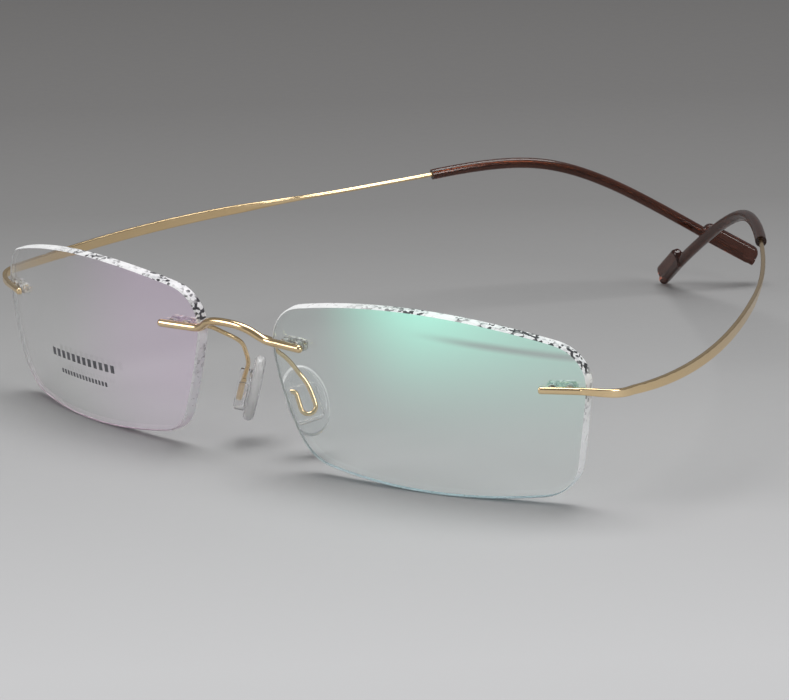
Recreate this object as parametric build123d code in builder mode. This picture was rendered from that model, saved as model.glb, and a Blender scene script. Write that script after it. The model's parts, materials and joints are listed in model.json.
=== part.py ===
from build123d import *
from math import cos, radians, sin, sqrt
import os

os.makedirs("parts", exist_ok=True)

# Rimless eyeglasses resting on a table. Table is z = 0. +X is the wearer's left,
# +Y runs back along the temples, and x = 0 is the middle of the bridge.
# The origin lies on the table under the middle of the whole, so the lens centres
# stand forward of it by lens_forward. Other y values are measured from the lenses.

# ---- Lenses ----
lens_radius = 78.0  # front surface, a shallow sphere
lens_thickness = 1.76
lens_centre_x = 33.65
lens_forward = 67.4
lens_centre_z = 14.54
wrap = 10.95  # each lens turns back at its outer side
tilt = 4.35  # each lens leans forward at its top
corner_radius = 6.53
edge_bevel = 0.22

# ---- Lens mounts: two pins pressed into a clear twin sleeve ----
pin_diameter = 0.8
sleeve_diameter = 1.4
pin_spacing = 2.6
plate_length = 4.5
plate_height = 1.7
plate_thickness = 0.7
bar_height = 1.05
bar_thickness = 0.9
bar_round = 0.38
nasal_bar_ends = (-25.7, -18.9)  # along the lens width
nasal_bar_height = 5.05  # above the lens centre
temporal_bar_ends = (19.2, 25.6)
temporal_bar_height = 3.1

# ---- Bridge ----
bridge_wire = 1.22
bridge_top_z = 21.9
bridge_top_y = -2.6
shoulder_x = 4.2  # the arch is broad, with a shoulder on each side
shoulder_y = -2.3
shoulder_z = 21.3

# ---- Pad arms and nose pads ----
arm_wire = 0.68
pad_length = 11.0
pad_width = 6.9
pad_thickness = 1.7
stud_width = 5.2  # raised box on the back of the pad, holds the hook
stud_length = 5.6
stud_height = 1.75
stud_shift = -0.35
pad_centre = (5.56, 8.97, 8.38)
pad_splay = 42.0  # pads open toward the face
pad_roll = 14.0  # long axis leans forward at the top
pad_spread = 14.0  # pads stand further apart at the bottom
pad_clearance = 0.4  # lets the pad rock on the hook
hook_half_width = 1.1
hook_standoff = 1.85  # hook plane from the middle of the cushion
hook_end_radius = 0.7
arm_share = 0.14  # where the arm leaves the bridge's arch

# ---- Temples ----
ribbon_thickness = 0.7
ribbon_round = 0.2
ribbon_height = 1.7
ribbon_start_height = 1.35
ribbon_end_height = 1.45
ribbon_neck_height = 1.05  # halfway down the taper
core_wire = 0.75
flex_gap = 0.3
flex_point = (62.3, 14.5, 18.0)
flex_twist = 0.6  # left flex point sits lower and right one higher by this
left_lean = 3.8  # both temples lean to the wearer's right at rest
right_lean = 3.58
temple_drop = 0.8  # left tip low, right tip high, so that the tips pass
ribbon_share = 0.33  # part of the temple length that is flat ribbon
wire_share = 0.425  # where the taper ends and the round wire starts
sleeve_share = 0.577  # where the ear tip begins
tip_tube = 1.85
paddle_width = 3.3
paddle_length = 11.0
paddle_thickness = 1.6
paddle_round = 0.55


lens_plane = Plane(
    origin=(lens_centre_x, -lens_forward, lens_centre_z),
    x_dir=(cos(radians(wrap)), sin(radians(wrap)), 0),
    z_dir=(
        sin(radians(wrap)) * cos(radians(tilt)),
        -cos(radians(wrap)) * cos(radians(tilt)),
        -sin(radians(tilt)),
    ),
)


def place(x, y, z):
    """Point given by its distance behind the lens centres."""
    return Vector(x, y - lens_forward, z)


def on_lens(across, up, depth=0.0):
    """Plane lying on the lens at a point, facing forward, moved back by depth."""
    rise = sqrt(lens_radius**2 - across**2 - up**2)
    normal = Vector(across, up, rise) / lens_radius
    foot = Vector(across, up, rise - lens_radius) - normal * depth
    origin = lens_plane.from_local_coords(foot)
    outward = lens_plane.from_local_coords(foot + normal) - origin
    return Plane(origin=origin, x_dir=lens_plane.x_dir, z_dir=outward)


# ---- Left lens: spherical shell cut to a soft-cornered outline ----
nasal_low = (-15.6, -6.7)
temporal_low = (17.9, -7.3)
temporal_high = (19.5, 3.45)
nasal_high = (-19.4, 4.6)
mounts = (
    (nasal_bar_ends, nasal_bar_height),
    (temporal_bar_ends, temporal_bar_height),
)

with BuildPart() as left_lens:
    with BuildSketch(lens_plane.offset(-14)):
        with BuildLine():
            SagittaArc(nasal_low, temporal_low, -1.14)
            SagittaArc(temporal_low, temporal_high, -0.12)
            SagittaArc(temporal_high, nasal_high, -2.5)
            SagittaArc(nasal_high, nasal_low, -0.42)
        make_face()
        offset(amount=corner_radius)
    extrude(amount=28)
    with Locations(lens_plane.offset(-lens_radius)):
        Sphere(lens_radius, rotation=(0, 90, 0), mode=Mode.INTERSECT)
        Sphere(lens_radius - lens_thickness, rotation=(0, 90, 0), mode=Mode.SUBTRACT)
    chamfer(left_lens.edges(), length=edge_bevel)
    for ends, up in mounts:
        seat = on_lens(sum(ends) / 2, up, lens_thickness + 1)
        with BuildSketch(seat):
            with Locations((-pin_spacing / 2, 0), (pin_spacing / 2, 0)):
                Circle(sleeve_diameter / 2)
        extrude(amount=lens_thickness + 2, mode=Mode.SUBTRACT)

# ---- Bridge: one round rod, straight on the lens fronts and arched between ----
nasal_seat = on_lens(sum(nasal_bar_ends) / 2, nasal_bar_height, 0)
temporal_seat = on_lens(sum(temporal_bar_ends) / 2, temporal_bar_height, 0)
bar_length = nasal_bar_ends[1] - nasal_bar_ends[0]
temporal_length = temporal_bar_ends[1] - temporal_bar_ends[0]
bar_middle = nasal_seat.offset(bridge_wire / 2)
kink = bar_middle.from_local_coords(Vector(-bar_length / 2 + 0.4, 0, 0))
kink_right = Vector(-kink.X, kink.Y, kink.Z)
along_bar = bar_middle.x_dir

bar_end = bar_middle.from_local_coords(Vector(bar_length / 2 - bridge_wire / 2, 0, 0))
bar_end_right = Vector(-bar_end.X, bar_end.Y, bar_end.Z)

with BuildPart() as bridge:
    with BuildLine() as rod:
        Line(bar_end, kink)
        arch = Spline(
            kink,
            place(shoulder_x, shoulder_y, shoulder_z),
            place(0, bridge_top_y, bridge_top_z),
            place(-shoulder_x, shoulder_y, shoulder_z),
            kink_right,
            tangents=[-along_bar, Vector(-along_bar.X, along_bar.Y, 0)],
        )
        Line(kink_right, bar_end_right)
    with BuildSketch(Plane(origin=bar_end, z_dir=-along_bar)):
        Circle(bridge_wire / 2)
    sweep()
    with Locations(bar_end, bar_end_right):
        Sphere(bridge_wire / 2)

# ---- Pins: round studs under each bar, through the lens ----
pin_length = lens_thickness + plate_thickness

with BuildPart() as left_nasal_pins:
    with BuildSketch(bar_middle):
        with Locations((-pin_spacing / 2, 0), (pin_spacing / 2, 0)):
            Circle(pin_diameter / 2)
    extrude(amount=-pin_length - bridge_wire / 2)
    add(bridge.part, mode=Mode.SUBTRACT)

with BuildPart() as left_temporal_pins:
    with BuildSketch(temporal_seat):
        with Locations((-pin_spacing / 2, 0), (pin_spacing / 2, 0)):
            Circle(pin_diameter / 2)
    extrude(amount=-pin_length)


def twin_sleeve(seat):
    """Clear plug: two tubes filling the lens holes and a plate behind the lens."""
    back = seat.offset(-lens_thickness - 0.1)
    with BuildPart() as plug:
        with BuildSketch(back):
            RectangleRounded(plate_length, plate_height, plate_height * 0.4)
        extrude(amount=-plate_thickness)
        with BuildSketch(back):
            with Locations((-pin_spacing / 2, 0), (pin_spacing / 2, 0)):
                Circle(sleeve_diameter / 2)
        extrude(amount=lens_thickness)
        with BuildSketch(seat.offset(1)):
            with Locations((-pin_spacing / 2, 0), (pin_spacing / 2, 0)):
                Circle(pin_diameter / 2)
        extrude(amount=-pin_length - 3, mode=Mode.SUBTRACT)
    return plug.part


with BuildPart() as left_nasal_sleeve:
    add(twin_sleeve(nasal_seat))

with BuildPart() as left_temporal_sleeve:
    add(twin_sleeve(temporal_seat))

# ---- Left pad arm: wire from the bridge, down behind the lens, into a hook ----
across_pad = Vector(sin(radians(pad_splay)), cos(radians(pad_splay)), 0)
toward_nose = Vector(-cos(radians(pad_splay)), sin(radians(pad_splay)), 0)
upright = Vector(0, 0, 1) * cos(radians(pad_spread)) + toward_nose * sin(radians(pad_spread))
pad_long = upright * cos(radians(pad_roll)) - across_pad * sin(radians(pad_roll))
toward_lens = across_pad.cross(upright)
pad_plane = Plane(origin=place(*pad_centre), x_dir=pad_long.cross(toward_lens), z_dir=toward_lens)
pocket_depth = arm_wire + 2 * pad_clearance
hook_plane = pad_plane.offset(hook_standoff)


def hook_point(across, along):
    return hook_plane.from_local_coords(Vector(across, along, 0))


hook_turn = -0.9  # centre of the hook's half round, along the pad
hook_rise = 1.3  # where the wire end starts to turn outward

with BuildPart() as left_pad_arm:
    with BuildLine() as arm_path:
        Spline(
            arch @ arm_share,
            place(5.3, 2.2, 18.7),
            place(4.2, 4.6, 17.0),
            place(4.8, 6.5, 15.0),
            hook_point(0.1, 4.4),
            hook_point(hook_half_width, hook_turn),
            tangents=[(-0.2, 1, -0.1), -pad_long],
        )
        ThreePointArc(
            hook_point(hook_half_width, hook_turn),
            hook_point(0, hook_turn - hook_half_width),
            hook_point(-hook_half_width, hook_turn),
        )
        Line(
            hook_point(-hook_half_width, hook_turn),
            hook_point(-hook_half_width, hook_rise),
        )
        ThreePointArc(
            hook_point(-hook_half_width, hook_rise),
            hook_point(
                -hook_half_width - hook_end_radius * (1 - sqrt(0.5)),
                hook_rise + hook_end_radius * sqrt(0.5),
            ),
            hook_point(-hook_half_width - hook_end_radius, hook_rise + hook_end_radius),
        )
    with BuildSketch(Plane(origin=arm_path.line @ 0, z_dir=arm_path.line % 0)):
        Circle(arm_wire / 2)
    sweep()
    add(bridge.part, mode=Mode.SUBTRACT)

# ---- Left nose pad: oval cushion with a raised stud, pocket open for the hook ----
stud_bottom = hook_turn - hook_half_width - pocket_depth / 2 - 0.4
stud_middle = stud_bottom + stud_length / 2
pocket_width = 2 * hook_half_width + hook_end_radius + pocket_depth
pocket_length = stud_length + 2
with BuildPart() as left_nose_pad:
    with BuildSketch(pad_plane.offset(-pad_thickness / 2)):
        Ellipse(pad_width / 2, pad_length / 2)
    extrude(amount=pad_thickness)
    fillet(left_nose_pad.edges(), radius=0.75)
    with BuildSketch(pad_plane.offset(pad_thickness / 2 - 0.3)):
        with Locations((stud_shift, stud_middle)):
            RectangleRounded(stud_width, stud_length, 1.2)
    extrude(amount=stud_height + 0.3)
    pocket_middle = stud_bottom + 0.4 + pocket_length / 2
    with Locations(hook_plane.offset(1) * Pos(stud_shift, pocket_middle, 0)):
        Box(pocket_width, pocket_length, pocket_depth + 2, mode=Mode.SUBTRACT)

# ---- Endpieces: bar on the lens front, then a ribbon round the lens edge ----
temporal_middle = temporal_seat.offset(bar_thickness / 2)
bar_tail = temporal_middle.from_local_coords(Vector(temporal_length / 2 - 0.4, 0, 0))
bar_way = temporal_middle.x_dir


def flex_place(side):
    """Middle of the springy spot behind an endpiece, drawn on the left side."""
    x, y, z = flex_point
    return place(x, y, z - side * flex_twist)


def endpiece(side):
    """Bar on the lens front and its ribbon, drawn on the left side."""
    tail = flex_place(side) - Vector(0, flex_gap / 2, 0)
    with BuildPart() as piece:
        with Locations(temporal_middle):
            Box(temporal_length, bar_height, bar_thickness)
        fillet(piece.edges(), radius=bar_round)
        with BuildLine() as wrap_path:
            Spline(bar_tail, tail, tangents=[(bar_way.X, bar_way.Y, 0), (0, 1, 0)])
        with BuildSketch(Plane(origin=bar_tail, x_dir=(0, 0, 1), z_dir=wrap_path.line % 0)):
            RectangleRounded(bar_height, ribbon_thickness, ribbon_round)
        with BuildSketch(Plane(origin=tail, x_dir=(0, 0, 1), z_dir=(0, 1, 0))):
            RectangleRounded(ribbon_start_height, ribbon_thickness, ribbon_round)
        sweep(multisection=True)
    return piece.part


with BuildPart() as left_endpiece:
    add(endpiece(1))

with BuildPart() as right_endpiece:
    mirror(endpiece(-1), about=Plane.YZ)


def temple_points(side):
    """Centre line of a temple at rest; side is 1 for left and -1 for right."""
    flex = flex_place(side)
    drop = side * flex_twist
    course = (
        flex + Vector(0, flex_gap / 2, 0),
        place(62.7, 27.4, 18.0 - drop),
        place(58.3, 49.3, 19.1 - drop / 2),
        place(48.8, 72.2, 20.0),
        place(36.3, 93.4, 21.2),
        place(23.0, 109.9, 21.2),
        place(8.0, 121.4, 13.1),
        place(-6.4, 131.6, 2.4),
    )
    lean = left_lean if side > 0 else right_lean
    turn = Rotation(-side * temple_drop, 0, side * lean)
    points = []
    for spot in course:
        reached = flex + (turn * Pos(spot - flex)).position
        points.append(Vector(side * reached.X, reached.Y, reached.Z))
    return points


def temple(side):
    """Flat ribbon, a long taper, and a round wire down to the ear tip."""
    with BuildPart() as arm:
        with BuildLine(mode=Mode.PRIVATE) as course:
            Spline(*temple_points(side))
        line = course.line
        with BuildLine(mode=Mode.PRIVATE) as flat:
            Spline(*[line @ (ribbon_share * k / 4) for k in range(5)])
        with BuildSketch(Plane(origin=line @ 0, x_dir=(0, 0, 1), z_dir=line % 0)) as first:
            RectangleRounded(ribbon_start_height, ribbon_thickness, ribbon_round)
        halfway = Plane(
            origin=line @ (ribbon_share / 2), x_dir=(0, 0, 1), z_dir=line % (ribbon_share / 2)
        )
        with BuildSketch(halfway) as middle:
            RectangleRounded(ribbon_height, ribbon_thickness, ribbon_round)
        last_plane = Plane(
            origin=line @ ribbon_share, x_dir=(0, 0, 1), z_dir=line % ribbon_share
        )
        with BuildSketch(last_plane) as last:
            RectangleRounded(ribbon_end_height, ribbon_thickness, ribbon_round)
        sweep(sections=[first.sketch, middle.sketch, last.sketch], path=flat.line, multisection=True)
        wire_plane = Plane(origin=line @ wire_share, x_dir=(0, 0, 1), z_dir=line % wire_share)
        with BuildSketch(last_plane) as broad:
            RectangleRounded(ribbon_end_height, ribbon_thickness, ribbon_round)
        neck_share = (ribbon_share + wire_share) / 2
        neck_plane = Plane(origin=line @ neck_share, x_dir=(0, 0, 1), z_dir=line % neck_share)
        with BuildSketch(neck_plane) as neck:
            RectangleRounded(ribbon_neck_height, ribbon_thickness, ribbon_thickness * 0.4)
        with BuildSketch(wire_plane) as narrow:
            Circle(core_wire / 2)
        loft(sections=[broad.sketch, neck.sketch, narrow.sketch])
        wire_end = 0.985
        steps = 7
        with BuildLine(mode=Mode.PRIVATE) as core:
            Spline(
                *[line @ (wire_share + (wire_end - wire_share) * k / steps) for k in range(steps + 1)]
            )
        with BuildSketch(wire_plane) as round_wire:
            Circle(core_wire / 2)
        sweep(sections=round_wire.sketch, path=core.line)
    return arm.part


with BuildPart() as left_temple:
    add(temple(1))

with BuildPart() as right_temple:
    add(temple(-1))


def ear_tip(side, temple_part):
    """Soft tube over the temple wire, ending in a flat paddle."""
    with BuildPart() as sleeve:
        with BuildLine(mode=Mode.PRIVATE) as course:
            Spline(*temple_points(side))
        line = course.line
        steps = 6
        with BuildLine(mode=Mode.PRIVATE) as covered:
            Spline(*[line @ (sleeve_share + (1 - sleeve_share) * k / steps) for k in range(steps + 1)])
        with BuildSketch(Plane(origin=covered.line @ 0, z_dir=covered.line % 0)):
            Circle(tip_tube / 2)
        sweep(path=covered.line)
        end_way = covered.line % 1
        bend = (covered.line % 0.5).cross(end_way) * side
        paddle_plane = Plane(origin=covered.line @ 1, x_dir=end_way, z_dir=bend)
        rise = paddle_width / 2 - tip_tube / 2
        with BuildPart(mode=Mode.PRIVATE) as paddle:
            with BuildSketch(paddle_plane.offset(-paddle_thickness / 2)):
                with Locations((-paddle_length / 2, -side * rise)):
                    RectangleRounded(paddle_length, paddle_width, paddle_width * 0.42)
            extrude(amount=paddle_thickness)
            fillet(paddle.edges(), radius=paddle_round)
        add(paddle.part)
        add(temple_part, mode=Mode.SUBTRACT)
    return sleeve.part


with BuildPart() as left_temple_tip:
    add(ear_tip(1, left_temple.part))

with BuildPart() as right_temple_tip:
    add(ear_tip(-1, right_temple.part))

# ---- Right-hand pieces mirror the left ones ----
with BuildPart() as right_lens:
    mirror(left_lens.part, about=Plane.YZ)

with BuildPart() as nasal_pins:
    add(left_nasal_pins.part)
    mirror(about=Plane.YZ)
    add(bridge.part, mode=Mode.SUBTRACT)

with BuildPart() as temporal_pins:
    add(left_temporal_pins.part)
    mirror(about=Plane.YZ)

with BuildPart() as right_nasal_sleeve:
    mirror(left_nasal_sleeve.part, about=Plane.YZ)

with BuildPart() as right_temporal_sleeve:
    mirror(left_temporal_sleeve.part, about=Plane.YZ)

with BuildPart() as right_pad_arm:
    mirror(left_pad_arm.part, about=Plane.YZ)
    add(bridge.part, mode=Mode.SUBTRACT)

with BuildPart() as right_nose_pad:
    mirror(left_nose_pad.part, about=Plane.YZ)

# ---- Export ----
left_lens.part.label = "left_lens"
export_step(left_lens.part, "parts/left_lens.step")
right_lens.part.label = "right_lens"
export_step(right_lens.part, "parts/right_lens.step")
bridge.part.label = "bridge"
export_step(bridge.part, "parts/bridge.step")
nasal_pins.part.label = "nasal_pins"
export_step(nasal_pins.part, "parts/nasal_pins.step")
temporal_pins.part.label = "temporal_pins"
export_step(temporal_pins.part, "parts/temporal_pins.step")
left_nasal_sleeve.part.label = "left_nasal_sleeve"
export_step(left_nasal_sleeve.part, "parts/left_nasal_sleeve.step")
right_nasal_sleeve.part.label = "right_nasal_sleeve"
export_step(right_nasal_sleeve.part, "parts/right_nasal_sleeve.step")
left_temporal_sleeve.part.label = "left_temporal_sleeve"
export_step(left_temporal_sleeve.part, "parts/left_temporal_sleeve.step")
right_temporal_sleeve.part.label = "right_temporal_sleeve"
export_step(right_temporal_sleeve.part, "parts/right_temporal_sleeve.step")
left_pad_arm.part.label = "left_pad_arm"
export_step(left_pad_arm.part, "parts/left_pad_arm.step")
right_pad_arm.part.label = "right_pad_arm"
export_step(right_pad_arm.part, "parts/right_pad_arm.step")
left_nose_pad.part.label = "left_nose_pad"
export_step(left_nose_pad.part, "parts/left_nose_pad.step")
right_nose_pad.part.label = "right_nose_pad"
export_step(right_nose_pad.part, "parts/right_nose_pad.step")
left_endpiece.part.label = "left_endpiece"
export_step(left_endpiece.part, "parts/left_endpiece.step")
right_endpiece.part.label = "right_endpiece"
export_step(right_endpiece.part, "parts/right_endpiece.step")
left_temple.part.label = "left_temple"
export_step(left_temple.part, "parts/left_temple.step")
right_temple.part.label = "right_temple"
export_step(right_temple.part, "parts/right_temple.step")
left_temple_tip.part.label = "left_temple_tip"
export_step(left_temple_tip.part, "parts/left_temple_tip.step")
right_temple_tip.part.label = "right_temple_tip"
export_step(right_temple_tip.part, "parts/right_temple_tip.step")
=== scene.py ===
"""Looks for the rimless eyeglasses: clear coated lenses, polished pale gold
titanium, clear silicone pads and dark translucent ear tips, on a grey table."""

import json
import math

import bmesh
import bpy
import numpy as np
from mathutils import Matrix, Vector
from mathutils.bvhtree import BVHTree


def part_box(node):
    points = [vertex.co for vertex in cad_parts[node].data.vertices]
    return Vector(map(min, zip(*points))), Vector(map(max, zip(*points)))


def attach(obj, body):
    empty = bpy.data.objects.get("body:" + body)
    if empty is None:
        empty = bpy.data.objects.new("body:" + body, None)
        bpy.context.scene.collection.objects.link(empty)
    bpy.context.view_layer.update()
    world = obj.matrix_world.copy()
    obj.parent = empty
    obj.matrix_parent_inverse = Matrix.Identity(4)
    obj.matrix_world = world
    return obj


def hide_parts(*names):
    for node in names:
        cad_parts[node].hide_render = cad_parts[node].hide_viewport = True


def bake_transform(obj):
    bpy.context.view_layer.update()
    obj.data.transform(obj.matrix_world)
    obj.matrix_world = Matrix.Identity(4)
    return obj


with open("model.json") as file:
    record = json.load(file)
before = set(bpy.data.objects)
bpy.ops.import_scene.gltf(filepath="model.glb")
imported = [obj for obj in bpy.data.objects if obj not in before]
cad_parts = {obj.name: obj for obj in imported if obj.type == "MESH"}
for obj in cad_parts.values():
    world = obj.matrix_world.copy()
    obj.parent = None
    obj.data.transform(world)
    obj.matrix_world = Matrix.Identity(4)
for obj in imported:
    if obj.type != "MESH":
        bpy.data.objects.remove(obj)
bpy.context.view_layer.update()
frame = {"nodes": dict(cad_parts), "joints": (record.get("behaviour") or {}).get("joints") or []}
nodes = frame["nodes"]
joints = {joint["name"]: joint for joint in frame["joints"]}
MM = 0.001
SIDES = ("left", "right")

# Noise and cell textures stay mostly between these two values.
NOISE_LOW, NOISE_HIGH = 0.3, 0.7

# Lens: its mesh is glass where it faces along the lens, and ground edge elsewhere.
FRONT_NORMAL_Y = -0.5
GLASS_FACING = 0.88
# Slope and half width of the dark band painted as a reflection on the left lens.
REFLECTION_BAND_SLOPE = 0.09
REFLECTION_BAND_HALF = 0.7 * MM
# Cells per metre of the black and white glint facets painted on the ground edge.
GLINT_FACETS_PER_M = 2100

# Nose pad: half sizes that place its frosted rim, and the remesh that rounds it.
PAD_HALF_WIDTH, PAD_HALF_LENGTH = 3.45 * MM, 5.5 * MM
PAD_RIM = (0.76, 0.92)
PAD_VOXEL = 0.14 * MM
PAD_SMOOTHING = 8

# Ribbon: where endpiece and temple are joined, and the cuts that let it bend there.
RIBBON_END = 0.01 * MM
RIBBON_LAP = 0.03 * MM
RIBBON_CUTS, RIBBON_STEP, RIBBON_FROM = 21, 0.125 * MM, -1.25 * MM
SHARP_ANGLE = math.radians(40)

# Print: rows of plain ticks, as height on the lens, number of ticks and width of one.
PRINT_CENTRE, PRINT_PITCH = 0.46, 1.7
PRINT_ROWS = ((0.345, 12, 0.85 * MM), (0.25, 15, 0.5 * MM))
TICK_TALLNESS = 1.5
INK_UNDER, INK_OVER = 0.002, 0.015  # mm off the lens
RAY_START = 0.01

# Camera: turned toward the wearer's left, a little above the table.
AZIMUTH = math.radians(40.56)
ELEVATION = math.radians(14.59)
ROLL = math.radians(-1.546)
LOOK_AT = Vector((-0.0161, -0.0129, 0.0030))
DISTANCE = 0.600
FOCAL_MM = 166.7
SENSOR_MM = 36
NEAREST = 0.01

# Table: painted shade, tones that darken from front to back, over this reach along the camera's
# azimuth.
TABLE_REACH = (-0.25, 0.5)
TABLE_SHADE_TONES = (
    (0.0, (0.50, 0.50, 0.505)), (0.14, (0.50, 0.50, 0.505)), (0.35, (0.30, 0.30, 0.30)),
    (0.50, (0.19, 0.188, 0.186)), (0.65, (0.15, 0.147, 0.145)), (1.0, (0.13, 0.127, 0.124)),
)
TABLE_HALF = 4
TABLE_DROP = 0.00002

# Each light: name, place, aim, size and power.
LIGHTS = (
    ("overhead", (-0.1, 0.1, 0.9), (0, 0, 0), (0.8, 0.6), 8),
    ("front", (-0.7, -0.9, 0.45), (0, 0, 0.02), (0.6, 0.5), 5),
    ("side", (0.9, -0.1, 0.35), (0, 0, 0.02), (0.3, 0.4), 2.5),
)
WORLD_COLOUR, WORLD_STRENGTH = (0.42, 0.42, 0.43, 1), 0.5


# ---------------------------------------------------------------- node helpers

class Graph:
    """A new node material with a Principled shader."""

    def __init__(self, name):
        self.material = bpy.data.materials.new(name)
        self.material.use_nodes = True
        self.nodes = self.material.node_tree.nodes
        self.links = self.material.node_tree.links
        self.shader = self.nodes["Principled BSDF"]
        self.where = self.nodes.new("ShaderNodeTexCoord").outputs["Object"]

    def set(self, **values):
        for name, value in values.items():
            self.shader.inputs[name.replace("_", " ")].default_value = value
        return self

    def link(self, source, target):
        self.links.new(source, target)

    def noise(self, scale, detail, stretch=None):
        node = self.nodes.new("ShaderNodeTexNoise")
        node.inputs["Scale"].default_value = scale
        node.inputs["Detail"].default_value = detail
        self.link(self.place(stretch), node.inputs["Vector"])
        return node.outputs["Fac"]

    def cells(self, scale):
        node = self.nodes.new("ShaderNodeTexVoronoi")
        node.inputs["Scale"].default_value = scale
        self.link(self.where, node.inputs["Vector"])
        return node.outputs["Color"]

    def place(self, stretch):
        if stretch is None:
            return self.where
        node = self.nodes.new("ShaderNodeMapping")
        node.inputs["Scale"].default_value = stretch
        self.link(self.where, node.inputs["Vector"])
        return node.outputs["Vector"]

    def axis(self, name):
        node = self.nodes.new("ShaderNodeSeparateXYZ")
        self.link(self.where, node.inputs[0])
        return node.outputs[name]

    def ramp(self, source, *stops):
        node = self.nodes.new("ShaderNodeValToRGB")
        band = node.color_ramp
        while len(band.elements) < len(stops):
            band.elements.new(0.5)
        for element, (at, colour) in zip(band.elements, stops):
            element.position = at
            element.color = (*colour, 1)
        self.link(source, node.inputs["Fac"])
        return node.outputs["Color"]

    def span(self, source, low, high, out_low=0.0, out_high=1.0, smooth=False):
        node = self.nodes.new("ShaderNodeMapRange")
        if smooth:
            node.interpolation_type = "SMOOTHSTEP"
        for slot, value in zip((1, 2, 3, 4), (low, high, out_low, out_high)):
            node.inputs[slot].default_value = value
        self.link(source, node.inputs[0])
        return node.outputs[0]

    def vary(self, noise, low, high):
        """A value that wanders between low and high with the noise."""
        return self.span(noise, NOISE_LOW, NOISE_HIGH, low, high)

    def blotch(self, noise, first, second):
        """A colour that wanders between first and second with the noise."""
        return self.ramp(noise, (NOISE_LOW, first), (NOISE_HIGH, second))

    def math(self, kind, first, second):
        node = self.nodes.new("ShaderNodeMath")
        node.operation = kind
        for slot, value in enumerate((first, second)):
            if isinstance(value, (int, float)):
                node.inputs[slot].default_value = value
            else:
                self.link(value, node.inputs[slot])
        return node.outputs[0]

    def mix(self, factor, first, second):
        node = self.nodes.new("ShaderNodeMix")
        node.data_type = "RGBA"
        for slot, value in zip(("Factor", "A", "B"), (factor, first, second)):
            target = [s for s in node.inputs if s.name == slot and s.enabled][0]
            if isinstance(value, tuple):
                target.default_value = (*value, 1)
            else:
                self.link(value, target)
        return [s for s in node.outputs if s.enabled][0]

    def bump(self, height, strength, distance):
        node = self.nodes.new("ShaderNodeBump")
        node.inputs["Strength"].default_value = strength
        node.inputs["Distance"].default_value = distance
        self.link(height, node.inputs["Height"])
        self.link(node.outputs["Normal"], self.shader.inputs["Normal"])

    def feed(self, name, source):
        self.link(source, self.shader.inputs[name])


# ------------------------------------------------------------------- materials

def gold():
    """Polished pale gold plating with faint draw lines and small colour drift."""
    g = Graph("pale_gold").set(Metallic=1.0)
    g.feed("Base Color", g.blotch(g.noise(60, 2.0), (0.82, 0.60, 0.33), (0.92, 0.72, 0.44)))
    grain = g.noise(900, 2.0, stretch=(3, 0.25, 3))
    g.feed("Roughness", g.vary(grain, 0.14, 0.24))
    g.bump(grain, 0.06, 0.03 * MM)
    return g.material


def clear_plastic():
    """Clear moulded plugs behind the lenses, with a sparkling rough edge."""
    g = Graph("clear_plug").set(IOR=1.49)
    cloud = g.noise(1500, 3.0)
    g.feed("Base Color", g.ramp(cloud, (0.35, (0.72, 0.72, 0.71)), (0.6, (1.0, 1.0, 0.99))))
    g.feed("Transmission Weight", g.span(cloud, 0.4, 0.6, 0.85, 0.25))
    g.feed("Roughness", g.vary(cloud, 0.05, 0.25))
    g.bump(cloud, 0.3, 0.1 * MM)
    return g.material


def silicone(side, middle, across, along):
    """Clear soft silicone, clear in the middle and frosted white at its rim."""
    g = Graph(f"clear_silicone_{side}").set(IOR=1.41)
    shift = g.nodes.new("ShaderNodeVectorMath")
    shift.operation = "SUBTRACT"
    g.link(g.where, shift.inputs[0])
    shift.inputs[1].default_value = middle
    reach = []
    for way, half in ((across, PAD_HALF_WIDTH), (along, PAD_HALF_LENGTH)):
        dot = g.nodes.new("ShaderNodeVectorMath")
        dot.operation = "DOT_PRODUCT"
        g.link(shift.outputs[0], dot.inputs[0])
        dot.inputs[1].default_value = way / half
        reach.append(g.math("MULTIPLY", dot.outputs["Value"], dot.outputs["Value"]))
    ring = g.span(g.math("ADD", *reach), *PAD_RIM, smooth=True)
    cloud = g.noise(420, 3.0)
    body = g.blotch(cloud, (0.93, 0.93, 0.94), (0.99, 0.99, 1.0))
    g.feed("Base Color", g.mix(ring, body, (1.0, 1.0, 1.0)))
    g.feed("Transmission Weight", g.span(ring, 0.0, 1.0, 0.96, 0.6))
    g.feed("Roughness", g.vary(cloud, 0.03, 0.10))
    g.bump(g.noise(260, 2.0), 0.06, 0.1 * MM)
    return g.material


def ear_tip_brown():
    """Dark brown translucent sleeve: the wire inside shows as a copper streak."""
    g = Graph("brown_tip").set(IOR=1.46, Transmission_Weight=0.9, Specular_IOR_Level=0.22)
    g.feed("Base Color", g.blotch(g.noise(160, 3.0), (0.13, 0.048, 0.030), (0.19, 0.072, 0.046)))
    g.feed("Roughness", g.vary(g.noise(900, 2.0), 0.08, 0.16))
    depth = g.nodes.new("ShaderNodeVolumeAbsorption")
    depth.inputs["Color"].default_value = (0.62, 0.24, 0.16, 1)
    depth.inputs["Density"].default_value = 250
    g.link(depth.outputs[0], g.nodes["Material Output"].inputs["Volume"])
    return g.material


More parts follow.
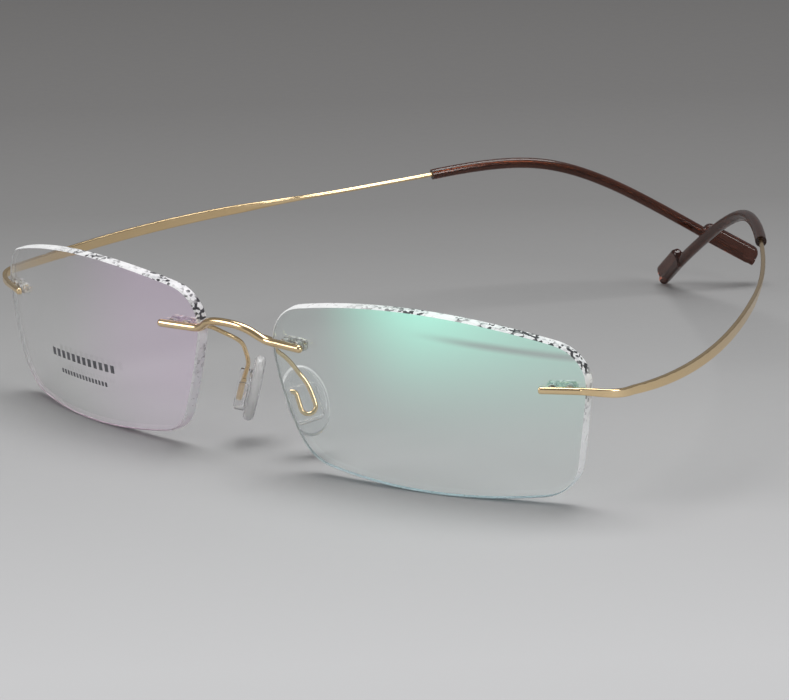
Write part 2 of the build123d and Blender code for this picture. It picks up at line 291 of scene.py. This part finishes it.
def left_painted_reflection(g, low, high):
    """Painted reflection on the left lens: a teal glow toward the top, and one dark band painted
    into the glass colour as a dark reflection.

    Returns the strength of the glow, its colour and the colour of the glass with the painted
    band."""
    width, height = high.x - low.x, high.z - low.z
    across, up = g.axis("X"), g.axis("Z")
    rise = g.span(up, low.z + 0.15 * height, low.z + 0.97 * height)
    side_mask = g.span(across, low.x + 0.14 * width, low.x + 0.55 * width, smooth=True)
    fade = g.span(across, low.x + 0.55 * width, high.x, 1.0, 0.55, smooth=True)
    painted_glow = g.math("MULTIPLY", g.math("POWER", rise, 2.2), g.math("MULTIPLY", side_mask, fade))
    # The dark band is a painted reflection: it darkens the glass colour and dims the glow.
    line = g.math("ADD", up, g.math("MULTIPLY", across, REFLECTION_BAND_SLOPE))
    reflection_band_at = low.z + 0.85 * height + REFLECTION_BAND_SLOPE * (low.x + 0.7 * width)
    off = g.math("ABSOLUTE", g.math("SUBTRACT", line, reflection_band_at), 0.0)
    band = g.span(off, 0.0, REFLECTION_BAND_HALF, 1.0, 0.0, smooth=True)
    start = g.span(across, low.x + 0.48 * width, low.x + 0.75 * width, smooth=True)
    band = g.math("MULTIPLY", band, start)
    painted_glow = g.math("MULTIPLY", painted_glow, g.math("SUBTRACT", 1.0, g.math("MULTIPLY", band, 0.9)))
    return painted_glow, (0.06, 0.25, 0.18), g.mix(band, (0.96, 1.0, 0.99), (0.84, 0.86, 0.86))


def right_painted_reflection(g, low, high):
    """Painted reflection on the right lens: a faint pink glow toward the nose.

    Returns the strength of the glow, its colour and the colour of the glass, faintly pink where
    the glow is painted."""
    width, height = high.x - low.x, high.z - low.z
    across, up = g.axis("X"), g.axis("Z")
    rise = g.span(across, low.x + 0.35 * width, low.x + 0.8 * width, smooth=True)
    painted_glow = g.math("MULTIPLY", rise, g.span(up, low.z, low.z + 0.4 * height, 0.5, 1.0))
    # The glass colour turns faintly pink with the painted glow.
    return painted_glow, (0.030, 0.008, 0.034), g.mix(painted_glow, (0.985, 0.985, 0.985), (1.0, 0.985, 1.0))


def lens_clear(side, low, high):
    """Coated lens faces. The coating's reflection is painted: a faint emission placed by
    position on the lens, which shows from every angle, besides a tinted reflection from the
    shader."""
    g = Graph(f"lens_{side}").set(IOR=1.5, Transmission_Weight=1.0, Emission_Strength=1.0)
    tint = {"left": (0.55, 1.0, 0.86), "right": (0.95, 0.72, 1.0)}[side]
    g.shader.inputs["Specular Tint"].default_value = (*tint, 1)
    painted_reflection = {"left": left_painted_reflection, "right": right_painted_reflection}[side]
    painted_glow, bright, glass_and_painted_reflection = painted_reflection(g, low, high)
    drift = g.span(g.noise(28, 1.0), NOISE_LOW, 0.6, 0.75, 1.0)
    # Base colour: the glass with the painted dark band or pink tint. Emission: the painted
    # reflection glow, varied a little by noise.
    g.feed("Base Color", glass_and_painted_reflection)
    g.feed("Emission Color", g.mix(g.math("MULTIPLY", painted_glow, drift), (0, 0, 0), bright))
    g.feed("Roughness", g.vary(g.noise(40, 2.0), 0.0, 0.02))
    return g.material


def lens_ground(side, low, high):
    """Ground lens edge: bright and frosted. The small black and white facets and the
    coloured foot are painted, in place of the light that a bevel throws."""
    g = Graph(f"lens_edge_{side}").set(IOR=1.5, Transmission_Weight=0.2)
    # Painted glints: black and white facets from cells, in place of light thrown by the bevel.
    split = g.nodes.new("ShaderNodeSeparateColor")
    g.link(g.cells(GLINT_FACETS_PER_M), split.inputs[0])
    painted_glint = g.ramp(
        split.outputs[0],
        (0.0, (0.02, 0.02, 0.025)), (0.36, (0.04, 0.04, 0.045)),
        (0.42, (0.75, 0.76, 0.77)), (1.0, (1.0, 1.0, 1.0)),
    )
    width, height = high.x - low.x, high.z - low.z
    # Where the painted glints show: the upper edge, from part way across, in noise patches.
    top = g.span(g.axis("Z"), low.z + 0.4 * height, low.z + 0.7 * height)
    start = {"left": (0.25, 0.5), "right": (0.3, 0.5)}[side]
    along = g.span(g.axis("X"), low.x + start[0] * width, low.x + start[1] * width)
    patches = g.span(g.noise(240, 2.0), 0.40, 0.50)
    glint_mask = g.math("MULTIPLY", g.math("MULTIPLY", top, along), patches)
    # The coloured foot is a painted reflection, tinting the lowest part of the edge.
    painted_foot_reflection = {"left": (0.72, 0.93, 1.0), "right": (1.0, 0.78, 0.92)}[side]
    base = g.ramp(
        g.span(g.axis("Z"), low.z, high.z),
        (0.0, painted_foot_reflection), (0.2, (0.96, 0.97, 0.98)), (1.0, (1.0, 1.0, 1.0)),
    )
    g.feed("Base Color", g.mix(glint_mask, base, painted_glint))
    g.feed("Roughness", g.vary(g.noise(1200, 2.0), 0.25, 0.5))
    g.bump(g.noise(1100, 3.0), 0.4, 0.08 * MM)
    return g.material


def print_ink():
    """Thin dark grey ink, a little uneven."""
    g = Graph("print_ink")
    g.feed("Base Color", g.blotch(g.noise(900, 3.0), (0.05, 0.05, 0.06), (0.13, 0.13, 0.14)))
    g.feed("Roughness", g.vary(g.noise(700, 2.0), 0.4, 0.6))
    return g.material


GOLD = gold()


# ---------------------------------------------------------------------- pieces

def add_object(name, data):
    obj = bpy.data.objects.new(name, data)
    bpy.context.scene.collection.objects.link(obj)
    return obj


def paint(node, material):
    """Gives a CAD node its finished material."""
    for slot in nodes[node].material_slots:
        slot.material = material


def lens_piece(side):
    """The lens, a copy of its CAD mesh, with a separate finish on its ground edge."""
    node = nodes[f"{side}_lens"]
    mesh = node.data.copy()
    piece = add_object(f"{side}_lens_glass", mesh)
    low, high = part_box(f"{side}_lens")
    mesh.materials.clear()
    mesh.materials.append(lens_clear(side, low, high))
    mesh.materials.append(lens_ground(side, low, high))
    facing = Vector((0, 0, 0))
    for face in mesh.polygons:
        if face.normal.y < FRONT_NORMAL_Y:
            facing += face.normal * face.area
    facing.normalize()
    for face in mesh.polygons:
        face.material_index = 0 if abs(face.normal.dot(facing)) > GLASS_FACING else 1
    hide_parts(f"{side}_lens")
    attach(piece, "front")
    return piece, facing


def pad_piece(side):
    """Soft pebble-shaped pad with a stud round its hook, from a fine remesh."""
    source = nodes[f"{side}_nose_pad"]
    pad = add_object(f"{side}_pad_pebble", source.data.copy())
    across = Vector(joints[f"{side}_pad_rock"]["axis"]).normalized()
    points = np.array([tuple(v.co) for v in pad.data.vertices])
    spread = np.linalg.eigh(np.cov((points - points.mean(0)).T))[1]
    along = Vector(spread[:, 2])
    along = (along - across * along.dot(across)).normalized()
    middle = Vector((0, 0, 0))
    for way in (across, along, across.cross(along)):
        reach = points @ np.array(way)
        middle += way * float(reach.max() + reach.min()) / 2
    remesh = pad.modifiers.new("remesh", "REMESH")
    remesh.mode = "VOXEL"
    remesh.voxel_size = PAD_VOXEL
    soften = pad.modifiers.new("soften", "SMOOTH")
    soften.iterations = PAD_SMOOTHING
    soften.factor = 0.5
    graph = bpy.context.evaluated_depsgraph_get()
    soft = bpy.data.meshes.new_from_object(pad.evaluated_get(graph))
    pad.modifiers.clear()
    pad.data = soft
    soft.materials.clear()
    soft.materials.append(silicone(side, middle, across, along))
    soft.shade_smooth()
    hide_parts(f"{side}_nose_pad")
    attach(pad, f"{side}_pad")


def ribbon_piece(side):
    """One springy piece: the endpiece and its temple joined across the flex spot."""
    flex = Vector(joints[f"{side}_temple_flex"]["pos_m"])
    bm = bmesh.new()
    bm.from_mesh(nodes[f"{side}_endpiece"].data)
    tail = max(v.co.y for v in bm.verts)
    end = [v for v in bm.verts if v.co.y > tail - RIBBON_END]
    start = min(v.co.y for v in nodes[f"{side}_temple"].data.vertices)
    for vert in end:
        vert.co.y += start - tail + RIBBON_LAP
    bm.from_mesh(nodes[f"{side}_temple"].data)
    for step in range(RIBBON_CUTS):
        cut = flex + Vector((0, RIBBON_FROM + step * RIBBON_STEP, 0))
        everything = bm.verts[:] + bm.edges[:] + bm.faces[:]
        bmesh.ops.bisect_plane(bm, geom=everything, plane_co=cut, plane_no=(0, 1, 0))
    mesh = bpy.data.meshes.new(f"{side}_ribbon")
    bm.to_mesh(mesh)
    bm.free()
    mesh.materials.clear()
    mesh.materials.append(GOLD)
    mesh.shade_smooth()
    mesh.set_sharp_from_angle(angle=SHARP_ANGLE)
    piece = add_object(f"{side}_spring_ribbon", mesh)
    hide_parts(f"{side}_endpiece", f"{side}_temple")
    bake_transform(piece)


def print_mark(lens, facing):
    """Two rows of plain ticks printed on the front of the right lens."""
    low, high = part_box("right_lens")
    width, height = high.x - low.x, high.z - low.z
    tree = BVHTree.FromObject(lens, bpy.context.evaluated_depsgraph_get())
    bm = bmesh.new()
    for row, count, tick in PRINT_ROWS:
        for k in range(count):
            left = low.x + width * PRINT_CENTRE + (k + 0.5 - count / 2) * tick * PRINT_PITCH
            base = low.z + height * row
            corners = []
            tall = tick * TICK_TALLNESS
            for dx, dz in ((0, 0), (tick, 0), (tick, tall), (0, tall)):
                spot = Vector((left + dx, low.y - RAY_START, base + dz))
                corners.append(tree.ray_cast(spot, Vector((0, 1, 0)))[0])
            under = [bm.verts.new(c + facing * INK_UNDER * MM) for c in corners]
            over = [bm.verts.new(c + facing * INK_OVER * MM) for c in corners]
            bm.faces.new(over)
            bm.faces.new(under[::-1])
            for a in range(4):
                b = (a + 1) % 4
                bm.faces.new((under[a], under[b], over[b], over[a]))
    bmesh.ops.recalc_face_normals(bm, faces=bm.faces)
    mesh = bpy.data.meshes.new("print_mark")
    bm.to_mesh(mesh)
    bm.free()
    mesh.materials.append(print_ink())
    mark = add_object("lens_print_mark", mesh)
    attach(mark, "front")


for side in SIDES:
    glass, front = lens_piece(side)
    if side == "right":
        print_mark(glass, front)

for name in ("bridge", "nasal_pins", "temporal_pins"):
    paint(name, GOLD)
plug = clear_plastic()
tip = ear_tip_brown()
for side in SIDES:
    paint(f"{side}_pad_arm", GOLD)
    pad_piece(side)
    ribbon_piece(side)
    for name in ("nasal_sleeve", "temporal_sleeve"):
        paint(f"{side}_{name}", plug)
    paint(f"{side}_temple_tip", tip)


# ----------------------------------------------------------------------- stage

def floor():
    """A table painted from light grey in front to dark grey behind, as the camera sees
    it: painted shade in place of the light's fall-off. The tones are fixed to the table."""
    bm = bmesh.new()
    bmesh.ops.create_grid(bm, x_segments=2, y_segments=2, size=TABLE_HALF)
    mesh = bpy.data.meshes.new("table")
    bm.to_mesh(mesh)
    bm.free()
    g = Graph("table_painted_shade").set(Specular_IOR_Level=0.2)
    away = g.nodes.new("ShaderNodeVectorMath")
    away.operation = "DOT_PRODUCT"
    g.link(g.where, away.inputs[0])
    away.inputs[1].default_value = (-math.sin(AZIMUTH), math.cos(AZIMUTH), 0)
    # Painted shade: the base colour darkens with distance toward the back.
    depth = g.span(away.outputs["Value"], *TABLE_REACH)
    g.feed("Base Color", g.ramp(depth, *TABLE_SHADE_TONES))
    g.feed("Roughness", g.vary(g.noise(400, 2.0), 0.72, 0.76))
    mesh.materials.append(g.material)
    obj = add_object("table", mesh)
    obj.location.z = -TABLE_DROP


def area_light(name, at, aim, size, power):
    data = bpy.data.lights.new(name, "AREA")
    data.shape = "RECTANGLE"
    data.size, data.size_y = size
    data.energy = power
    obj = add_object(name, data)
    obj.location = at
    obj.rotation_euler = (Vector(aim) - Vector(at)).to_track_quat("-Z", "Y").to_euler()


def camera():
    data = bpy.data.cameras.new("camera")
    data.sensor_width = SENSOR_MM
    data.lens = FOCAL_MM
    data.clip_start = NEAREST
    obj = add_object("camera", data)
    flat = math.cos(ELEVATION)
    forward = Vector((-math.sin(AZIMUTH) * flat, math.cos(AZIMUTH) * flat, -math.sin(ELEVATION)))
    right = Vector((math.cos(AZIMUTH), math.sin(AZIMUTH), 0))
    over = right.cross(forward)
    right_tilted = right * math.cos(ROLL) + over * math.sin(ROLL)
    over_tilted = over * math.cos(ROLL) - right * math.sin(ROLL)
    turn = Matrix((right_tilted, over_tilted, -forward)).transposed().to_4x4()
    obj.matrix_world = Matrix.Translation(LOOK_AT - forward * DISTANCE) @ turn
    bpy.context.scene.camera = obj


camera()
floor()
for light in LIGHTS:
    area_light(*light)

world = bpy.data.worlds.new("studio")
world.use_nodes = True
world.node_tree.nodes["Background"].inputs["Color"].default_value = WORLD_COLOUR
world.node_tree.nodes["Background"].inputs["Strength"].default_value = WORLD_STRENGTH
bpy.context.scene.world = world
bpy.context.scene.view_settings.view_transform = "Standard"
